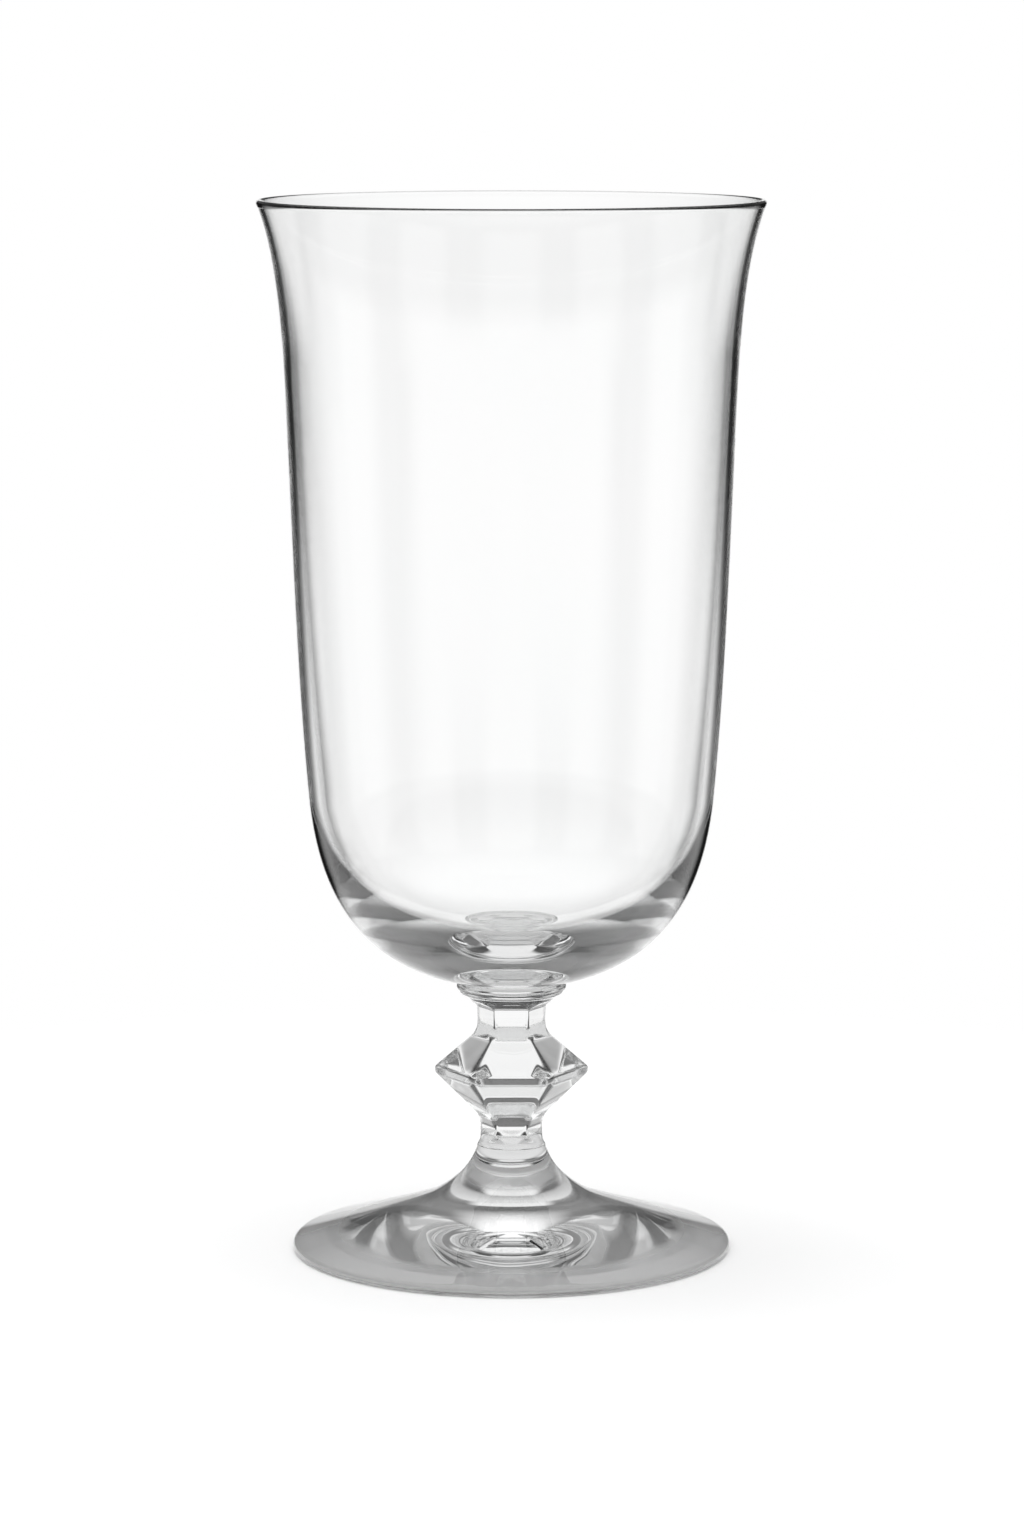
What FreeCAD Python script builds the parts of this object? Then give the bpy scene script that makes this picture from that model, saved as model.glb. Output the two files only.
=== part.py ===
import FreeCAD, Part
import os
import Sketcher

# A footed vase of clear glass, standing on z = 0 with its axis on +Z (millimetres).
# A blown bowl, a thin wafer collar, a press-moulded stem with a faceted knop, and a trumpet
# foot are made one by one and joined hot, face to face.  Each is a turned outline; the stem's
# six panels are then cut through its turned blank.

# Every corner and curve handle of the outlines: its radius and its height.
POINTS = {
    # bowl, outside, from the seat on the collar up to the rim
    "SeatEdge": (12.6, 67.47),
    "BellyLowHandle": (36.62, 72.5),
    "BellyHighHandle": (47.52, 87.7),
    "Shoulder": (49.95, 113.86),
    "WallLowHandle": (53.26, 149.4),
    "WallHighHandle": (53.82, 187.33),
    "Waist": (55.64, 220.53),
    "FlareLowHandle": (56.11, 229.03),
    "FlareHighHandle": (57.08, 246.3),
    "RimOuter": (62.03, 259.08),
    # bowl, inside, back down to the middle of its floor
    "RimInner": (60.63, 259.62),
    "InnerFlareHighHandle": (55.7, 246.9),
    "InnerFlareLowHandle": (54.15, 229.1),
    "InnerWaist": (53.75, 220.6),
    "InnerWallHighHandle": (52.2, 187.4),
    "InnerWallLowHandle": (50.9, 150.0),
    "InnerShoulder": (47.35, 114.5),
    "InnerBellyHandle": (44.71, 85.92),
    "FloorHandle": (25.85, 76.28),
    # collar
    "CollarTop": (13.05, 67.0),
    "CollarBottom": (13.05, 65.33),
    # stem, from its head down to the foot
    "HeadTop": (12.55, 65.33),
    "HeadStep": (12.3, 64.5),
    "FlareTop": (11.74, 64.2),
    "UpperNeckTop": (8.42, 57.8),
    "UpperNeckBottom": (8.42, 57.0),
    "CrownTop": (9.98, 53.6),
    "CrownBottom": (18.67, 46.1),
    "PavilionTop": (18.73, 44.19),
    "PavilionBottom": (9.18, 34.73),
    "LowerNeckTop": (7.69, 31.17),
    "LowerNeckBottom": (7.69, 28.9),
    "StemEnd": (8.43, 26.32),
    # foot
    "TrumpetHighHandle": (9.43, 21.97),
    "TrumpetLowHandle": (12.86, 17.45),
    "Instep": (19.53, 13.8),
    "DiscInnerHandle": (24.09, 11.3),
    "DiscOuterHandle": (43.05, 5.59),
    "FootEdgeTop": (53.4, 2.65),
    "FootEdgeBottom": (53.03, 0.0),
    "HollowEdge": (45.0, 0.0),
    "HollowOuterHandle": (34.0, 0.0),
    "HollowInnerHandle": (18.0, 2.2),
}

# Panel outline: distance of each flat panel from the axis against height.
PANEL_POINTS = {
    "ReachTop": (24.0, 63.4),
    "PanelTop": (10.6, 63.4),
    "UpperPanelTop": (7.42, 61.4),
    "UpperPanelBottom": (7.42, 57.2),
    "CrownPanelTop": (8.85, 53.5),
    "CrownPanelBottom": (16.75, 46.15),
    "GirdlePanel": (16.75, 44.15),
    "PavilionPanelBottom": (8.1, 34.75),
    "LowerPanelTop": (6.78, 31.6),
    "LowerPanelBottom": (6.78, 29.2),
    "PanelEnd": (9.0, 26.0),
    "ReachEnd": (24.0, 26.0),
}

# Heights on the axis, radii of the rounded stretches and the panel count.
SIZES = {
    "FloorHeight": 76.28,
    "HollowHeight": 2.2,
    "RimRound": 0.76,
    "CollarRound": 0.95,
    "HeadRound": 0.45,
    "HeadFlareRound": 7.65,
    "UpperNeckRound": 4.5,
    "GirdleRound": 1.3,
    "LowerNeckRound": 5.0,
    "StemEndRound": 4.87,
    "FootEdgeRound": 1.35,
    "PanelCount": 6,
}

doc = FreeCAD.newDocument("FootedVase")
sheet = doc.addObject("Spreadsheet::Sheet", "Sizes")


def fill_sheet():
    """Write every size into the sheet, one row each, with its alias."""
    rows = dict(SIZES)
    for name, (radius, height) in {**POINTS, **PANEL_POINTS}.items():
        rows[name + "Radius"] = radius
        rows[name + "Height"] = height
    for row, (alias, value) in enumerate(rows.items(), start=1):
        sheet.set(f"A{row}", alias)
        sheet.set(f"B{row}", str(value))
        sheet.setAlias(f"B{row}", alias)
    doc.recompute()


def cell(alias):
    return float(sheet.get(alias))


def place(name, side):
    """A named point in its sketch: side is +1 for a turned outline, -1 for a panel outline."""
    return FreeCAD.Vector(side * cell(name + "Radius"), cell(name + "Height"), 0)


def on_axis(alias):
    return FreeCAD.Vector(0, cell(alias), 0)


def pin(sketch, geometry, end, name, side):
    """Hold one point of the sketch to its radius and height in the sheet."""
    if side > 0:
        across = Sketcher.Constraint("DistanceX", -1, 1, geometry, end, cell(name + "Radius"))
    else:
        across = Sketcher.Constraint("DistanceX", geometry, end, -1, 1, cell(name + "Radius"))
    up = Sketcher.Constraint("DistanceY", -1, 1, geometry, end, cell(name + "Height"))
    for suffix, constraint in (("Radius", across), ("Height", up)):
        index = sketch.addConstraint(constraint)
        sketch.renameConstraint(index, f"{name}{suffix}")
        sketch.setExpression(f"Constraints.{name}{suffix}", f"Sizes.{name}{suffix}")


def pin_on_axis(sketch, geometry, end, alias):
    """Hold one point to the axis at a height from the sheet."""
    sketch.addConstraint(Sketcher.Constraint("PointOnObject", geometry, end, -2))
    index = sketch.addConstraint(Sketcher.Constraint("DistanceY", -1, 1, geometry, end, cell(alias)))
    sketch.renameConstraint(index, f"Axis{alias}")
    sketch.setExpression(f"Constraints.Axis{alias}", f"Sizes.{alias}")


def add_arc(sketch, start, finish, round_alias, bulge):
    """An arc between two points, bulging away from the axis (+1) or towards it (-1)."""
    radius = cell(round_alias)
    chord = finish - start
    half = chord.Length / 2
    sagitta = radius - (radius ** 2 - half ** 2) ** 0.5
    across = FreeCAD.Vector(abs(chord.y), 0, 0)
    across.y = -chord.x * (1 if chord.y > 0 else -1)
    across.normalize()
    middle = (start + finish) / 2 + across * (bulge * sagitta)
    index = sketch.addGeometry(Part.Arc(start, middle, finish), False)
    forward = (sketch.getPoint(index, 1) - start).Length < 1e-6
    constraint = sketch.addConstraint(Sketcher.Constraint("Radius", index, radius))
    sketch.renameConstraint(constraint, round_alias)
    sketch.setExpression(f"Constraints.{round_alias}", f"Sizes.{round_alias}")
    return index, (1, 2) if forward else (2, 1)


def add_curve(sketch, poles, handles, side):
    """A cubic curve on four poles, its two middle ones held as handles."""
    curve = Part.BSplineCurve()
    curve.buildFromPolesMultsKnots(poles, [4, 4], [0.0, 1.0], False, 3)
    index = sketch.addGeometry(curve, False)
    for number, pole in enumerate(poles):
        circle = sketch.addGeometry(Part.Circle(pole, FreeCAD.Vector(0, 0, 1), 1.0), True)
        sketch.addConstraint(Sketcher.Constraint("Weight", circle, 1.0))
        sketch.addConstraint(Sketcher.Constraint(
            "InternalAlignment:Sketcher::BSplineControlPoint", circle, 3, index, number))
        if number in (1, 2):
            pin(sketch, circle, 3, handles[number - 1], side)
    return index, (1, 2)


def draw_outline(body, name, plane, corners, joins, side=1):
    """A closed outline: corners in order, and what joins each to the next.

    A corner is a point's name, or ("axis", alias).  A join is None for a straight line,
    ("arc", round alias, bulge) or ("curve", handle, handle).
    """
    sketch = body.newObject("Sketcher::SketchObject", name)
    origin_plane = next(f for f in body.Origin.OriginFeatures if f.Role == plane)
    sketch.AttachmentSupport = (origin_plane, [""])
    sketch.MapMode = "FlatFace"
    where = [on_axis(c[1]) if isinstance(c, tuple) else place(c, side) for c in corners]
    laid = []
    for number, join in enumerate(joins):
        start, finish = where[number], where[(number + 1) % len(corners)]
        if join is None:
            laid.append((sketch.addGeometry(Part.LineSegment(start, finish), False), (1, 2)))
        elif join[0] == "arc":
            laid.append(add_arc(sketch, start, finish, join[1], join[2]))
        else:
            poles = [start, place(join[1], side), place(join[2], side), finish]
            laid.append(add_curve(sketch, poles, join[1:], side))
    for number, corner in enumerate(corners):
        before, (_, before_end) = laid[number - 1]
        after, (after_start, _) = laid[number]
        sketch.addConstraint(Sketcher.Constraint("Coincident", before, before_end, after, after_start))
        if isinstance(corner, tuple):
            pin_on_axis(sketch, after, after_start, corner[1])
        else:
            pin(sketch, after, after_start, corner, side)
    return sketch


def turned_body(label, corners, joins):
    """A body turned about the axis from a half outline."""
    body = doc.addObject("PartDesign::Body", label)
    body.Label = label
    sketch = draw_outline(body, f"{label}_outline", "XZ_Plane", corners, joins)
    turn = body.newObject("PartDesign::Revolution", f"{label}_turn")
    turn.Profile = sketch
    turn.ReferenceAxis = (sketch, ["V_Axis"])
    turn.Angle = 360
    body.Tip = turn
    return body


def make_bowl():
    """Blown bowl: deep, straight-sided, flaring to a fire-polished rim, with a thick floor."""
    corners = [("axis", "SeatEdgeHeight"), "SeatEdge", "Shoulder", "Waist", "RimOuter", "RimInner",
               "InnerWaist", "InnerShoulder", ("axis", "FloorHeight")]
    joins = [None,
             ("curve", "BellyLowHandle", "BellyHighHandle"),
             ("curve", "WallLowHandle", "WallHighHandle"),
             ("curve", "FlareLowHandle", "FlareHighHandle"),
             ("arc", "RimRound", 1),
             ("curve", "InnerFlareHighHandle", "InnerFlareLowHandle"),
             ("curve", "InnerWallHighHandle", "InnerWallLowHandle"),
             ("curve", "InnerBellyHandle", "FloorHandle"),
             None]
    return turned_body("bowl", corners, joins)


def make_collar():
    """Thin wafer of glass with a rounded edge, between bowl and stem."""
    corners = [("axis", "CollarBottomHeight"), "CollarBottom", "CollarTop", "SeatEdge",
               ("axis", "SeatEdgeHeight")]
    joins = [None, ("arc", "CollarRound", 1), None, None, None]
    return turned_body("collar", corners, joins)


def make_stem():
    """Stepped head, two slim necks and a double-cone knop, with flat panels all the way down."""
    corners = [("axis", "StemEndHeight"), "StemEnd", "LowerNeckBottom", "LowerNeckTop",
               "PavilionBottom", "PavilionTop", "CrownBottom", "CrownTop", "UpperNeckBottom",
               "UpperNeckTop", "FlareTop", "HeadStep", "HeadTop", ("axis", "HeadTopHeight")]
    joins = [None, ("arc", "StemEndRound", -1), None, ("arc", "LowerNeckRound", -1), None,
             ("arc", "GirdleRound", 1), None, ("arc", "UpperNeckRound", -1), None,
             ("arc", "HeadFlareRound", -1), None, ("arc", "HeadRound", 1), None, None]
    body = turned_body("stem", corners, joins)

    corners = list(PANEL_POINTS)
    sketch = draw_outline(body, "panel_outline", "YZ_Plane", corners, [None] * len(corners), side=-1)
    cut = body.newObject("PartDesign::Pocket", "front_panel")
    cut.Profile = sketch
    cut.Type = "ThroughAll"
    cut.Midplane = True
    panels = body.newObject("PartDesign::PolarPattern", "panels")
    panels.Originals = [cut]
    axis = next(f for f in body.Origin.OriginFeatures if f.Role == "Z_Axis")
    panels.Axis = (axis, [""])
    panels.Angle = 360
    panels.setExpression("Occurrences", "Sizes.PanelCount")
    body.Tip = panels
    return body


def make_foot():
    """Trumpet foot: a short shank spreading into a thin disc, ground flat in a ring below."""
    corners = [("axis", "HollowHeight"), "HollowEdge", "FootEdgeBottom", "FootEdgeTop", "Instep",
               "StemEnd", ("axis", "StemEndHeight")]
    joins = [("curve", "HollowInnerHandle", "HollowOuterHandle"),
             None,
             ("arc", "FootEdgeRound", 1),
             ("curve", "DiscOuterHandle", "DiscInnerHandle"),
             ("curve", "TrumpetLowHandle", "TrumpetHighHandle"),
             None,
             None]
    return turned_body("foot", corners, joins)


def check_and_write(pieces):
    """Stop if anything failed to build, then write one file for each piece."""
    doc.recompute()
    for item in doc.Objects:
        if {"Invalid", "Error"} & set(item.State):
            raise RuntimeError(f"{item.Name} did not build: {item.State}")
    os.makedirs("parts", exist_ok=True)
    for piece in pieces:
        shape = piece.Shape
        if shape.isNull() or not shape.isValid() or len(shape.Solids) != 1:
            raise RuntimeError(f"{piece.Label} is not one valid solid")
        shape.exportStep(f"parts/{piece.Label}.step")
        print(piece.Label, round(shape.Volume), "mm3", shape.BoundBox)


fill_sheet()
check_and_write([make_bowl(), make_collar(), make_stem(), make_foot()])
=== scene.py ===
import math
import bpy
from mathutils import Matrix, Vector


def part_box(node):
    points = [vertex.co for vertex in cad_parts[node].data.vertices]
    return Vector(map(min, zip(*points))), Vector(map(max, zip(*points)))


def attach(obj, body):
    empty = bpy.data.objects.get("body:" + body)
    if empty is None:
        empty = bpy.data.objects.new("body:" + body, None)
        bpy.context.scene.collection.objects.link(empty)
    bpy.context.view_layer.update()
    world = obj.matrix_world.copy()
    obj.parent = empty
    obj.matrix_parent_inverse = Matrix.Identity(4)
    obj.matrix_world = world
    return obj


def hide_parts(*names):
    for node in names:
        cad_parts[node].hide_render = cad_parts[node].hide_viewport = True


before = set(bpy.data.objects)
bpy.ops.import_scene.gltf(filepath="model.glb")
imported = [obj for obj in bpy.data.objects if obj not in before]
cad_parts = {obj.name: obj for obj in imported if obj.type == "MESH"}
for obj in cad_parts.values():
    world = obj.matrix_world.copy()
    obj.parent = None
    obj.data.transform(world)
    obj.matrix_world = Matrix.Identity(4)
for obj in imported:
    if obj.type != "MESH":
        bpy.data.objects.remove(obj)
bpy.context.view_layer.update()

# A footed vase of clear glass on a pale floor: bowl, collar, panelled stem and trumpet foot.
# Every piece is turned from a half outline by one Geometry Nodes tree.

# The outlines below are written in millimetres on a vase 260 high, and follow the frame's height.
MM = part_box("bowl")[1].z / 260.0
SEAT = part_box("bowl")[0].z / MM            # bowl on collar
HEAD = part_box("collar")[0].z / MM          # collar on stem, at the collar's underside
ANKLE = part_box("foot")[1].z / MM           # stem on foot


# ---------------------------------------------------------------- outlines

def line(start, end, steps=1):
    """Points from start to end, without the first one."""
    return [(start[0] + (end[0] - start[0]) * i / steps,
             start[1] + (end[1] - start[1]) * i / steps) for i in range(1, steps + 1)]


def curve(start, first, second, end, steps):
    """A cubic curve from start to end on two handles, without its first point."""
    points = []
    for i in range(1, steps + 1):
        t = i / steps
        a, b, c, d = (1 - t) ** 3, 3 * (1 - t) ** 2 * t, 3 * (1 - t) * t * t, t ** 3
        points.append(tuple(a * start[k] + b * first[k] + c * second[k] + d * end[k]
                            for k in (0, 1)))
    return points


def arc(start, end, radius, steps, bulge=1):
    """An arc from start to end, bulging away from the axis (+1) or towards it (-1)."""
    dx, dy = end[0] - start[0], end[1] - start[1]
    half = math.hypot(dx, dy) / 2
    drop = math.sqrt(max(radius ** 2 - half ** 2, 0.0))
    side = bulge * (1 if dy > 0 else -1)
    nx, ny = side * dy / (2 * half), -side * dx / (2 * half)
    cx, cy = (start[0] + end[0]) / 2 - nx * drop, (start[1] + end[1]) / 2 - ny * drop
    first = math.atan2(start[1] - cy, start[0] - cx)
    turn = 2 * math.asin(min(half / radius, 1.0))
    turn *= 1 if (nx * dy - ny * dx) > 0 else -1
    return [(cx + radius * math.cos(first + turn * i / steps),
             cy + radius * math.sin(first + turn * i / steps)) for i in range(1, steps + 1)]


def in_metres(points):
    """The outline in metres, kept off the far side of the axis."""
    return [(max(r, 0.0) * MM, z * MM) for r, z in points]


def bowl_outline():
    """Outside from the seat up, over the lip, and inside down to the middle of the floor."""
    seat, shoulder, waist = (12.6, SEAT), (49.95, 113.86), (55.64, 220.53)
    lip_out, lip_in = (62.03, 259.08), (60.63, 259.62)
    inner_waist, inner_shoulder, floor = (53.75, 220.6), (47.35, 114.5), (0.0, 76.28)
    points = [(0.0, SEAT)] + line((0.0, SEAT), seat, 4)
    points += curve(seat, (36.62, 72.5), (47.52, 87.7), shoulder, 70)
    points += curve(shoulder, (53.26, 149.4), (53.82, 187.33), waist, 30)
    points += curve(waist, (56.11, 229.03), (57.08, 246.3), lip_out, 40)
    points += arc(lip_out, lip_in, 0.76, 14)
    points += curve(lip_in, (55.7, 246.9), (54.15, 229.1), inner_waist, 40)
    points += curve(inner_waist, (52.2, 187.4), (50.9, 150.0), inner_shoulder, 30)
    points += curve(inner_shoulder, (44.71, 85.92), (25.85, 76.28), floor, 70)
    return points


def collar_outline():
    low, high, seat = (13.05, HEAD), (13.05, 67.0), (12.6, SEAT)
    points = [(0.0, HEAD)] + line((0.0, HEAD), low, 4)
    points += arc(low, high, 0.95, 12) + line(high, seat, 2) + line(seat, (0.0, SEAT), 4)
    return points


def stem_outline():
    points = [(0.0, ANKLE)] + line((0.0, ANKLE), (8.43, ANKLE), 4)
    points += arc((8.43, ANKLE), (7.69, 28.9), 4.87, 16, -1)
    points += line((7.69, 28.9), (7.69, 31.17), 10)
    points += arc((7.69, 31.17), (9.18, 34.73), 5.0, 22, -1)
    points += line((9.18, 34.73), (18.73, 44.19), 50)
    points += arc((18.73, 44.19), (18.67, 46.1), 1.3, 16)
    points += line((18.67, 46.1), (9.98, 53.6), 44)
    points += arc((9.98, 53.6), (8.42, 57.0), 4.5, 22, -1)
    points += line((8.42, 57.0), (8.42, 57.8), 5)
    points += arc((8.42, 57.8), (11.74, 64.2), 7.65, 36, -1)
    points += line((11.74, 64.2), (12.3, 64.5), 3) + arc((12.3, 64.5), (12.55, HEAD), 0.45, 8)
    points += line((12.55, HEAD), (0.0, HEAD), 4)
    return points


def foot_outline():
    instep = (19.53, 13.8)
    points = [(0.0, 2.2)] + curve((0.0, 2.2), (18.0, 2.2), (34.0, 0.0), (45.0, 0.0), 40)
    points += line((45.0, 0.0), (53.03, 0.0), 4)
    points += arc((53.03, 0.0), (53.4, 2.65), 1.35, 20)
    points += curve((53.4, 2.65), (43.05, 5.59), (24.09, 11.3), instep, 50)
    points += curve(instep, (12.86, 17.45), (9.43, 21.97), (8.43, ANKLE), 40)
    points += line((8.43, ANKLE), (0.0, ANKLE), 4)
    return points


# Panels: height and, there, the distance from the axis to each of the six flats.
PANEL_HEIGHTS = [(26.0, 9.0), (29.2, 6.78), (31.6, 6.78), (34.75, 8.1), (44.15, 16.75),
                 (46.15, 16.75), (53.5, 8.85), (57.2, 7.42), (61.4, 7.42), (63.4, 10.6)]
PANEL_COUNT = 6
PANEL_EASE = 0.35                          # millimetres of height that soften its corners
EDGE_CRISPNESS = 90.0                      # how sharply two panels meet
OPEN = 99.0                                # a distance that no outline reaches


def panel_distance(z):
    """The panel's distance at a height, with its corners eased over a short length."""
    def plain(h):
        if h <= PANEL_HEIGHTS[0][0] or h >= PANEL_HEIGHTS[-1][0]:
            return OPEN
        for (z0, f0), (z1, f1) in zip(PANEL_HEIGHTS, PANEL_HEIGHTS[1:]):
            if z0 <= h <= z1:
                return f0 + (f1 - f0) * (h - z0) / (z1 - z0)
    samples = [plain(z + PANEL_EASE * (i - 4) / 4) for i in range(9)]
    return OPEN if OPEN in samples else sum(samples) / 9


# ---------------------------------------------------------------- Geometry Nodes

class Tree:
    """A node group with short calls for the nodes used here."""

    def __init__(self, name):
        self.group = bpy.data.node_groups.new(name, "GeometryNodeTree")

    def socket(self, name, kind, inside=True, default=None):
        item = self.group.interface.new_socket(
            name, in_out="INPUT" if inside else "OUTPUT", socket_type=kind)
        if default is not None:
            item.default_value = default

    def node(self, kind, **settings):
        made = self.group.nodes.new(kind)
        for key, value in settings.items():
            setattr(made, key, value)
        return made

    def link(self, source, target):
        self.group.links.new(source, target)

    def sum(self, operation, *values):
        """A Math node on sockets or plain numbers."""
        made = self.node("ShaderNodeMath", operation=operation)
        for slot, value in zip(made.inputs, values):
            if isinstance(value, (int, float)):
                slot.default_value = value
            else:
                self.link(value, slot)
        return made.outputs[0]


def turning_tree():
    """Turns a half outline about Z, cuts the panels, and sets both finishes.

    The outline comes in as a line of points; "panel" on each is the flats' distance from the
    axis there, and "joint" marks the stretch that starts there as a fused face.
    """
    tree = Tree("turned_glass")
    tree.socket("Outline", "NodeSocketGeometry")
    for name, kind, default in (("Steps", "NodeSocketInt", 256),
                                ("Panels", "NodeSocketInt", PANEL_COUNT),
                                ("Edge Crispness", "NodeSocketFloat", EDGE_CRISPNESS),
                                ("Finish", "NodeSocketMaterial", None),
                                ("Joint Finish", "NodeSocketMaterial", None)):
        tree.socket(name, kind, default=default)
    tree.socket("Piece", "NodeSocketGeometry", inside=False)
    given = tree.node("NodeGroupInput").outputs
    steps = given["Steps"]
    around = tree.sum("ADD", steps, 1)

    size = tree.node("GeometryNodeAttributeDomainSize", component="MESH")
    tree.link(given["Outline"], size.inputs["Geometry"])
    grid = tree.node("GeometryNodeMeshGrid")
    tree.link(size.outputs["Point Count"], grid.inputs["Vertices X"])
    tree.link(around, grid.inputs["Vertices Y"])

    index = tree.node("GeometryNodeInputIndex").outputs[0]
    row = tree.sum("FLOOR", tree.sum("DIVIDE", tree.sum("ADD", index, 0.5), around))
    column = tree.sum("SUBTRACT", index, tree.sum("MULTIPLY", row, around))

    def sampled(kind, source, at):
        made = tree.node("GeometryNodeSampleIndex", data_type=kind, domain="POINT")
        tree.link(given["Outline"], made.inputs["Geometry"])
        tree.link(source, made.inputs["Value"])
        tree.link(at, made.inputs["Index"])
        return made.outputs[0]

    def named(name):
        made = tree.node("GeometryNodeInputNamedAttribute", data_type="FLOAT")
        made.inputs["Name"].default_value = name
        return made.outputs["Attribute"]

    place = tree.node("ShaderNodeSeparateXYZ")
    tree.link(sampled("FLOAT_VECTOR", tree.node("GeometryNodeInputPosition").outputs[0], row),
              place.inputs[0])
    turned, height = place.outputs["X"], place.outputs["Z"]
    panel = sampled("FLOAT", named("panel"), row)

    angle = tree.sum("DIVIDE", tree.sum("MULTIPLY", column, math.tau), steps)
    pitch = tree.sum("DIVIDE", math.tau, given["Panels"])
    off = tree.sum("WRAP", tree.sum("ADD", angle, math.pi / 2), tree.sum("MULTIPLY", pitch, 0.5),
                   tree.sum("MULTIPLY", pitch, -0.5))
    off = tree.sum("ABSOLUTE", off)
    crisp = given["Edge Crispness"]

    def closeness(side, flat):
        """(turned radius / this flat's distance along the ray) to the crispness."""
        ratio = tree.sum("DIVIDE", tree.sum("MULTIPLY", turned, tree.sum("COSINE", side)), flat)
        return tree.sum("POWER", tree.sum("MAXIMUM", ratio, 0.0), crisp)

    near, far = closeness(off, panel), closeness(tree.sum("SUBTRACT", pitch, off), panel)
    total = tree.sum("ADD", tree.sum("ADD", near, far), 1.0)
    radius = tree.sum("MULTIPLY", turned,
                      tree.sum("POWER", total, tree.sum("DIVIDE", -1.0, crisp)))
    spot = tree.node("ShaderNodeCombineXYZ")
    tree.link(tree.sum("MULTIPLY", radius, tree.sum("COSINE", angle)), spot.inputs["X"])
    tree.link(tree.sum("MULTIPLY", radius, tree.sum("SINE", angle)), spot.inputs["Y"])
    tree.link(height, spot.inputs["Z"])

    flag = tree.node("GeometryNodeStoreNamedAttribute", data_type="FLOAT", domain="FACE")
    flag.inputs["Name"].default_value = "joint"
    tree.link(grid.outputs["Mesh"], flag.inputs["Geometry"])
    face_row = tree.sum("FLOOR", tree.sum("DIVIDE", tree.sum("ADD", index, 0.5), steps))
    tree.link(sampled("FLOAT", named("joint"), face_row), flag.inputs["Value"])

    shape = tree.node("GeometryNodeSetPosition")
    tree.link(flag.outputs[0], shape.inputs["Geometry"])
    tree.link(spot.outputs[0], shape.inputs["Position"])
    close = tree.node("GeometryNodeMergeByDistance")
    close.inputs["Distance"].default_value = 1e-6
    tree.link(shape.outputs[0], close.inputs["Geometry"])
    outward = tree.node("GeometryNodeFlipFaces")
    tree.link(close.outputs[0], outward.inputs[0])
    smooth = tree.node("GeometryNodeSetShadeSmooth")
    tree.link(outward.outputs[0], smooth.inputs["Geometry"])
    real = tree.node("GeometryNodeRealizeInstances")
    tree.link(smooth.outputs[0], real.inputs[0])
    paint = tree.node("GeometryNodeSetMaterial")
    tree.link(real.outputs[0], paint.inputs["Geometry"])
    tree.link(given["Finish"], paint.inputs["Material"])
    fuse = tree.node("GeometryNodeSetMaterial")
    tree.link(paint.outputs[0], fuse.inputs["Geometry"])
    tree.link(tree.sum("GREATER_THAN", named("joint"), 0.5), fuse.inputs["Selection"])
    tree.link(given["Joint Finish"], fuse.inputs["Material"])
    tree.link(fuse.outputs[0], tree.node("NodeGroupOutput").inputs["Piece"])
    return tree.group


def enclosed_volume(mesh):
    """Signed volume: positive only when the faces look outward."""
    mesh.calc_loop_triangles()
    total = 0.0
    for triangle in mesh.loop_triangles:
        a, b, c = (mesh.vertices[i].co for i in triangle.vertices)
        total += a.dot(b.cross(c)) / 6
    return total


def turned_piece(name, outline, tree, finish, joint_finish, joint_heights, steps,
                 panelled=False):
    """One piece as a plain closed mesh, turned from its outline."""
    rows = in_metres(outline)
    line_mesh = bpy.data.meshes.new(name + "_outline")
    line_mesh.from_pydata([(r, 0.0, z) for r, z in rows],
                          [(i, i + 1) for i in range(len(rows) - 1)], [])
    distance = line_mesh.attributes.new("panel", "FLOAT", "POINT")
    joint = line_mesh.attributes.new("joint", "FLOAT", "POINT")
    for i, (r, z) in enumerate(rows):
        distance.data[i].value = (panel_distance(z / MM) if panelled else OPEN) * MM
        flat = i + 1 < len(rows) and abs(rows[i + 1][1] - z) < 1e-7
        joint.data[i].value = float(flat and any(abs(z - h * MM) < 1e-6 for h in joint_heights))
    blank = bpy.data.objects.new(name + "_blank", line_mesh)
    bpy.context.scene.collection.objects.link(blank)
    turning = blank.modifiers.new("turning", "NODES")
    turning.node_group = tree
    inputs = {item.name: item.identifier for item in tree.interface.items_tree
              if item.in_out == "INPUT"}
    for key, value in (("Steps", steps), ("Finish", finish), ("Joint Finish", joint_finish)):
        turning[inputs[key]] = value
    evaluated = blank.evaluated_get(bpy.context.evaluated_depsgraph_get())
    mesh = bpy.data.meshes.new_from_object(evaluated)
    mesh.name = name
    bpy.data.objects.remove(blank)
    if enclosed_volume(mesh) <= 0:
        raise RuntimeError(f"{name} is inside out")
    piece = bpy.data.objects.new(name, mesh)
    bpy.context.scene.collection.objects.link(piece)
    return piece


# ---------------------------------------------------------------- finishes

GLASS_IOR = 1.52
SMOKE_TINT = (0.30, 0.31, 0.31, 1.0)
SMOKE_DENSITY = 4.5                        # how much light the glass takes, per metre
GROUND_ROUGHNESS = 0.28


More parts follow.
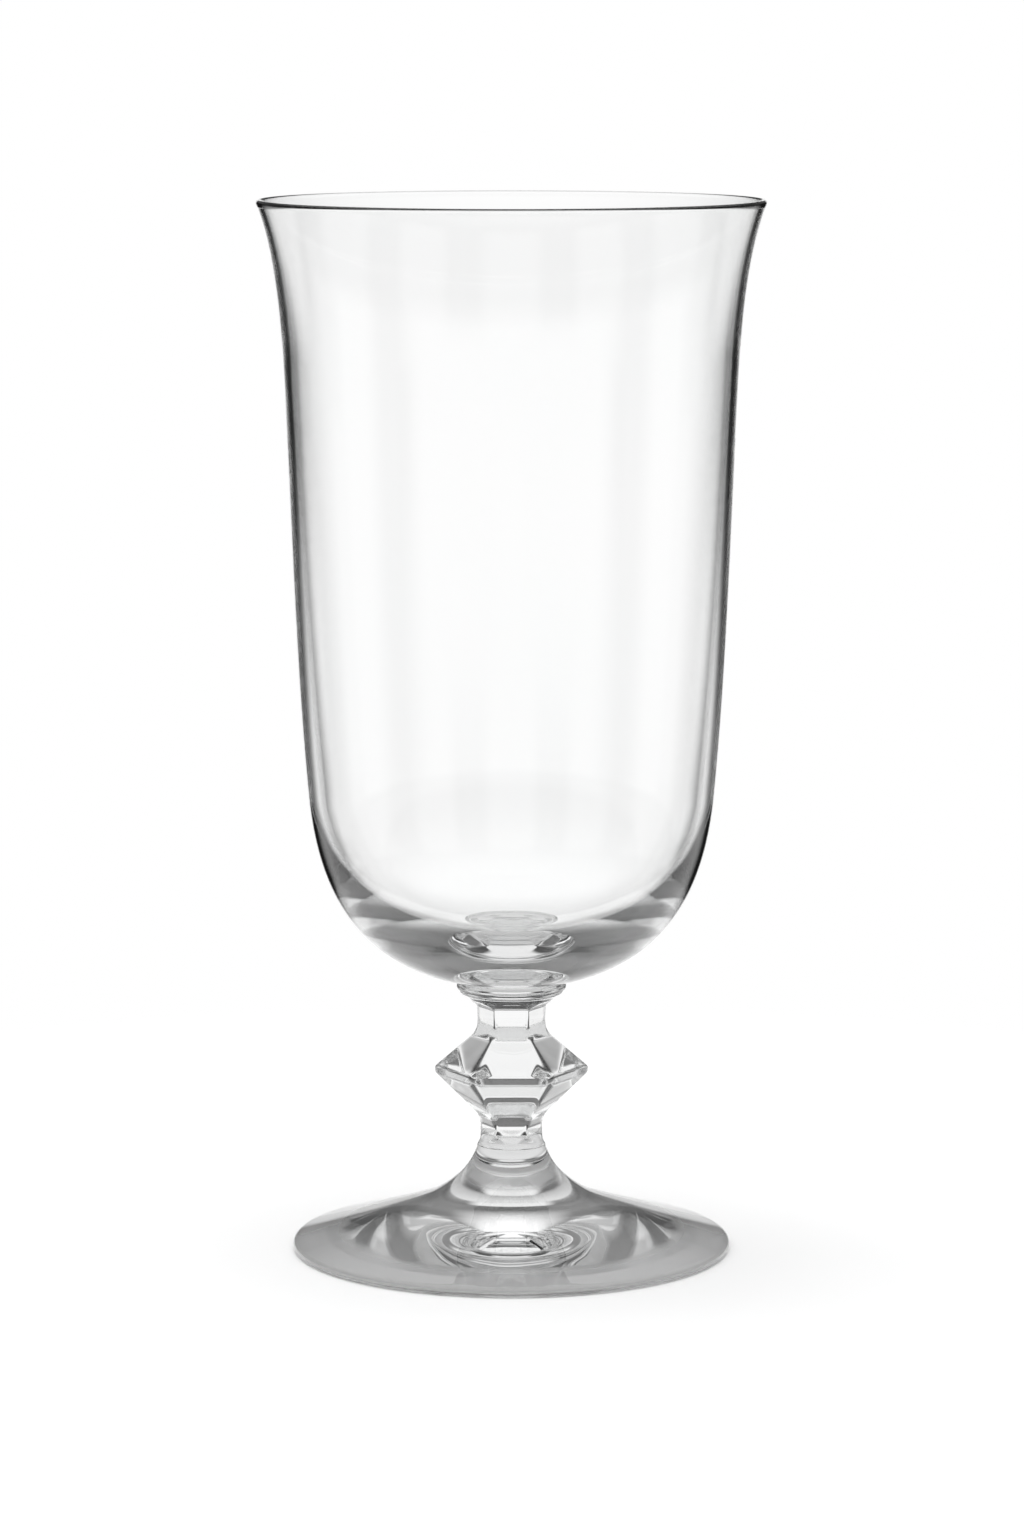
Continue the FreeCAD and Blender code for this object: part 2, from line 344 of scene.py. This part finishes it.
def clear_glass(name, ripple_size, ripple_depth, thread_depth, ground_ring=False):
    """Polished glass: uneven by a few hundredths of a millimetre, with faint turning threads.

    ripple_size and the depths are in millimetres.  ground_ring frosts what touches the table.
    """
    material = bpy.data.materials.new(name)
    material.use_nodes = True
    nodes, links = material.node_tree.nodes, material.node_tree.links
    glass = nodes["Principled BSDF"]
    glass.inputs["Transmission Weight"].default_value = 1.0
    glass.inputs["IOR"].default_value = GLASS_IOR
    smoke = nodes.new("ShaderNodeVolumeAbsorption")
    smoke.inputs["Color"].default_value = SMOKE_TINT
    smoke.inputs["Density"].default_value = SMOKE_DENSITY
    links.new(smoke.outputs[0], nodes["Material Output"].inputs["Volume"])
    place = nodes.new("ShaderNodeTexCoord").outputs["Object"]

    def noise(size, detail, stretch=(1.0, 1.0, 1.0)):
        mapping = nodes.new("ShaderNodeMapping")
        mapping.inputs["Scale"].default_value = stretch
        links.new(place, mapping.inputs["Vector"])
        made = nodes.new("ShaderNodeTexNoise")
        made.inputs["Scale"].default_value = 1000.0 / size
        made.inputs["Detail"].default_value = detail
        links.new(mapping.outputs[0], made.inputs["Vector"])
        return made.outputs[0]

    def spread(value, low, high, to_low, to_high):
        made = nodes.new("ShaderNodeMapRange")
        links.new(value, made.inputs["Value"])
        for key, number in (("From Min", low), ("From Max", high),
                            ("To Min", to_low), ("To Max", to_high)):
            made.inputs[key].default_value = number
        return made.outputs[0]

    def bump(height, depth, under=None):
        made = nodes.new("ShaderNodeBump")
        made.inputs["Strength"].default_value = 1.0
        made.inputs["Distance"].default_value = depth * 0.001
        links.new(height, made.inputs["Height"])
        if under is not None:
            links.new(under, made.inputs["Normal"])
        return made.outputs[0]

    ripple = noise(ripple_size, 1.0)
    threads = noise(40.0, 2.0, (0.6, 0.6, 9.0))
    links.new(bump(threads, thread_depth, bump(ripple, ripple_depth)), glass.inputs["Normal"])

    colour = nodes.new("ShaderNodeMix")
    colour.data_type = "RGBA"
    links.new(spread(noise(55.0, 1.0), 0.35, 0.65, 0.0, 1.0), colour.inputs["Factor"])
    colour.inputs[6].default_value = (0.994, 0.998, 0.997, 1.0)
    colour.inputs[7].default_value = (1.0, 1.0, 1.0, 1.0)
    links.new(colour.outputs[2], glass.inputs["Base Color"])

    roughness = spread(noise(9.0, 3.0), 0.45, 0.75, 0.0, 0.004)
    if ground_ring:
        split = nodes.new("ShaderNodeSeparateXYZ")
        links.new(place, split.inputs[0])
        matte = spread(split.outputs["Z"], 0.00005, 0.0002, GROUND_ROUGHNESS, 0.0)
        most = nodes.new("ShaderNodeMath")
        most.operation = "MAXIMUM"
        links.new(roughness, most.inputs[0])
        links.new(matte, most.inputs[1])
        roughness = most.outputs[0]
    links.new(roughness, glass.inputs["Roughness"])
    return material


def fused_joint():
    """Where two pieces are melted into one, so that no surface shows."""
    material = bpy.data.materials.new("fused_joint")
    material.use_nodes = True
    nodes, links = material.node_tree.nodes, material.node_tree.links
    clear = nodes.new("ShaderNodeBsdfTransparent")
    links.new(clear.outputs[0], nodes["Material Output"].inputs["Surface"])
    return material


# ---------------------------------------------------------------- pieces

turning = turning_tree()
blown = clear_glass("blown_glass", 26.0, 0.02, 0.012)
pressed = clear_glass("pressed_glass", 7.0, 0.03, 0.006)
footed = clear_glass("foot_glass_finish", 16.0, 0.03, 0.02, ground_ring=True)
joint_glass = fused_joint()

bowl = turned_piece("bowl_glass", bowl_outline(), turning, blown, joint_glass, (SEAT,), 288)
collar = turned_piece("collar_glass", collar_outline(), turning, pressed, joint_glass,
                      (HEAD, SEAT), 256)
stem = turned_piece("stem_glass", stem_outline(), turning, pressed, joint_glass,
                    (ANKLE, HEAD), 360, panelled=True)
foot = turned_piece("foot_glass", foot_outline(), turning, footed, joint_glass, (ANKLE,), 288)
for piece, node, slot in ((bowl, "bowl", "blown_glass"), (collar, "collar", "stem_glass"),
                          (stem, "stem", "stem_glass"), (foot, "foot", "stem_glass")):
    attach(piece, "root")
    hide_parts(node)


# ---------------------------------------------------------------- studio

# Heights are sines of the elevation; brightness 1 is white.
SCREEN_TOP = 0.05       # how far up the white screens reach
SCREEN_FOOT = -0.55     # and how far down
UPPER_ROOM = 0.14       # brightness of the room above them
OVERHEAD_EDGE = 0.22    # where the overhead softbox starts to fade in
OVERHEAD_FULL = 0.80    # and where it is at its brightest
OVERHEAD = 1.3
SIDE_BOXES = 0.8        # the two side softboxes
ROOM = 0.17             # the grey room
DARK = 0.02             # the black flags beside the rear screen
SOFT = 0.60             # the grey ones beside the others
FLOOR_RADIUS = 0.34
FLOOR_WHITE = 0.93
CAMERA_PLACE = (0.00015, -1.2923, 0.3077)
CAMERA_TILT = 0.1438    # radians below level
CAMERA_LENS = 82.81


def studio_world():
    """White screens around the vase with black flags beside them, and softboxes, in a grey room."""
    world = bpy.data.worlds.new("studio")
    bpy.context.scene.world = world
    world.use_nodes = True
    nodes, links = world.node_tree.nodes, world.node_tree.links

    def math_node(operation, *values):
        made = nodes.new("ShaderNodeMath")
        made.operation = operation
        for slot, value in zip(made.inputs, values):
            if isinstance(value, (int, float)):
                slot.default_value = value
            else:
                links.new(value, slot)
        return made.outputs[0]

    def ease(value, start, end, before, after):
        made = nodes.new("ShaderNodeMapRange")
        made.interpolation_type = "SMOOTHSTEP"
        links.new(value, made.inputs["Value"])
        for key, given in (("From Min", start), ("From Max", end),
                           ("To Min", before), ("To Max", after)):
            if isinstance(given, (int, float)):
                made.inputs[key].default_value = given
            else:
                links.new(given, made.inputs[key])
        return made.outputs[0]

    direction = nodes.new("ShaderNodeTexCoord").outputs["Generated"]
    split = nodes.new("ShaderNodeSeparateXYZ")
    links.new(direction, split.inputs[0])
    up = split.outputs[2]
    azimuth = math_node("ARCTAN2", split.outputs[1], split.outputs[0])
    degree, quarter = math.pi / 180, math.pi / 4
    off = math_node("ABSOLUTE", math_node("WRAP", azimuth, quarter, -quarter))
    diagonal = math_node("SUBTRACT", quarter, off)
    back = split.outputs[1]
    level = math_node("MULTIPLY", ease(up, SCREEN_TOP, SCREEN_TOP + 0.07, 1.0, 0.0),
                      ease(up, SCREEN_FOOT - 0.1, SCREEN_FOOT, 0.0, 1.0))
    edge = ease(back, 0.55, 0.75, 27 * degree, 15 * degree)
    flags = ease(back, 0.55, 0.75, SOFT, DARK)
    straight = ease(off, 9 * degree, edge, 1.0, 0.0)
    slanting = math_node("MULTIPLY", ease(diagonal, 7 * degree, 24 * degree, 1.0, 0.0),
                         ease(up, -0.20, -0.08, 1.0, 0.0))
    front = math_node("MULTIPLY", ease(back, -0.70, -0.35, 1.0, 0.0),
                      ease(up, -0.36, -0.22, 0.0, 1.0))
    white = math_node("MAXIMUM", math_node("MAXIMUM", straight, slanting), front)
    room = ease(off, 27 * degree, 38 * degree, flags, ROOM)
    screens = math_node("MULTIPLY", level, math_node("MAXIMUM", white, room))
    boxes = math_node("MULTIPLY", ease(back, -0.12, 0.0, 0.0, SIDE_BOXES),
                      math_node("MULTIPLY", ease(back, 0.40, 0.58, 1.0, 0.0),
                                math_node("MULTIPLY", ease(up, -0.04, 0.04, 1.0, 0.0),
                                          ease(up, -0.42, -0.30, 0.0, 1.0))))
    upper_room = ease(up, SCREEN_TOP, SCREEN_TOP + 0.10, DARK, UPPER_ROOM)
    below = ease(up, -0.80, SCREEN_FOOT + 0.05, 0.85, 0.40)
    below = math_node("MULTIPLY", below, ease(up, SCREEN_FOOT - 0.05, SCREEN_FOOT + 0.05, 1.0, 0.0))
    overhead = ease(up, OVERHEAD_EDGE, OVERHEAD_FULL, 0.0, OVERHEAD)
    bright = math_node("MAXIMUM", math_node("MAXIMUM", screens, boxes),
                       math_node("MAXIMUM", math_node("MAXIMUM", below, overhead), upper_room))
    seen = nodes.new("ShaderNodeLightPath").outputs["Is Camera Ray"]
    bright = math_node("MAXIMUM", bright, seen)
    background = nodes["Background"]
    background.inputs["Color"].default_value = (1.0, 1.0, 1.0, 1.0)
    links.new(bright, background.inputs["Strength"])


def pale_floor():
    """A disc of matt paper that fades out at its rim; rays through the glass pass it by."""
    radius, rings = FLOOR_RADIUS, 96
    points = [(0.0, 0.0, 0.0)] + [(radius * math.cos(math.tau * i / rings),
                                   radius * math.sin(math.tau * i / rings), 0.0)
                                  for i in range(rings)]
    faces = [(0, 1 + i, 1 + (i + 1) % rings) for i in range(rings)]
    mesh = bpy.data.meshes.new("floor")
    mesh.from_pydata(points, [], faces)
    floor = bpy.data.objects.new("floor", mesh)
    bpy.context.scene.collection.objects.link(floor)
    material = bpy.data.materials.new("floor_paper")
    material.use_nodes = True
    nodes, links = material.node_tree.nodes, material.node_tree.links
    paper = nodes["Principled BSDF"]
    paper.inputs["Base Color"].default_value = (FLOOR_WHITE, FLOOR_WHITE, FLOOR_WHITE, 1.0)
    paper.inputs["Roughness"].default_value = 0.9
    paper.inputs["Specular IOR Level"].default_value = 0.0
    fade = nodes.new("ShaderNodeMapRange")
    fade.interpolation_type = "SMOOTHSTEP"
    length = nodes.new("ShaderNodeVectorMath")
    length.operation = "LENGTH"
    links.new(nodes.new("ShaderNodeTexCoord").outputs["Object"], length.inputs[0])
    links.new(length.outputs["Value"], fade.inputs["Value"])
    for key, value in (("From Min", 0.18), ("From Max", 0.33), ("To Min", 1.0), ("To Max", 0.0)):
        fade.inputs[key].default_value = value
    links.new(fade.outputs[0], paper.inputs["Alpha"])
    floor.data.materials.append(material)
    floor.visible_transmission = False


def area_light(name, place, aim, size, power):
    """A soft disc light for the floor, unseen by the camera and in the glass."""
    data = bpy.data.lights.new(name, "AREA")
    data.shape, data.size, data.energy = "DISK", size, power
    light = bpy.data.objects.new(name, data)
    bpy.context.scene.collection.objects.link(light)
    light.location = place
    light.rotation_euler = (Vector(aim) - Vector(place)).to_track_quat("-Z", "Y").to_euler()
    light.visible_transmission = False
    light.visible_camera = False
    light.visible_glossy = False


def look():
    """The camera, level with the rim's rear edge and tipped down a little."""
    data = bpy.data.cameras.new("camera")
    data.sensor_fit = "VERTICAL"
    data.sensor_height = 24.0
    data.lens = CAMERA_LENS
    camera = bpy.data.objects.new("camera", data)
    camera.location = CAMERA_PLACE
    camera.rotation_euler = (math.pi / 2 - CAMERA_TILT, 0.0, 0.0)
    bpy.context.scene.collection.objects.link(camera)
    bpy.context.scene.camera = camera


studio_world()
pale_floor()
area_light("key", (-0.7, 0.3, 1.1), (0, 0, 0.05), 0.6, 1.0)
area_light("fill", (0.0, 0.0, 1.8), (0, 0, 0), 1.8, 11.0)
look()
scene = bpy.context.scene
scene.view_settings.view_transform = "Standard"
scene.cycles.max_bounces = 32
scene.cycles.transmission_bounces = 32
scene.cycles.glossy_bounces = 12
scene.cycles.transparent_max_bounces = 32
scene.cycles.use_denoising = True
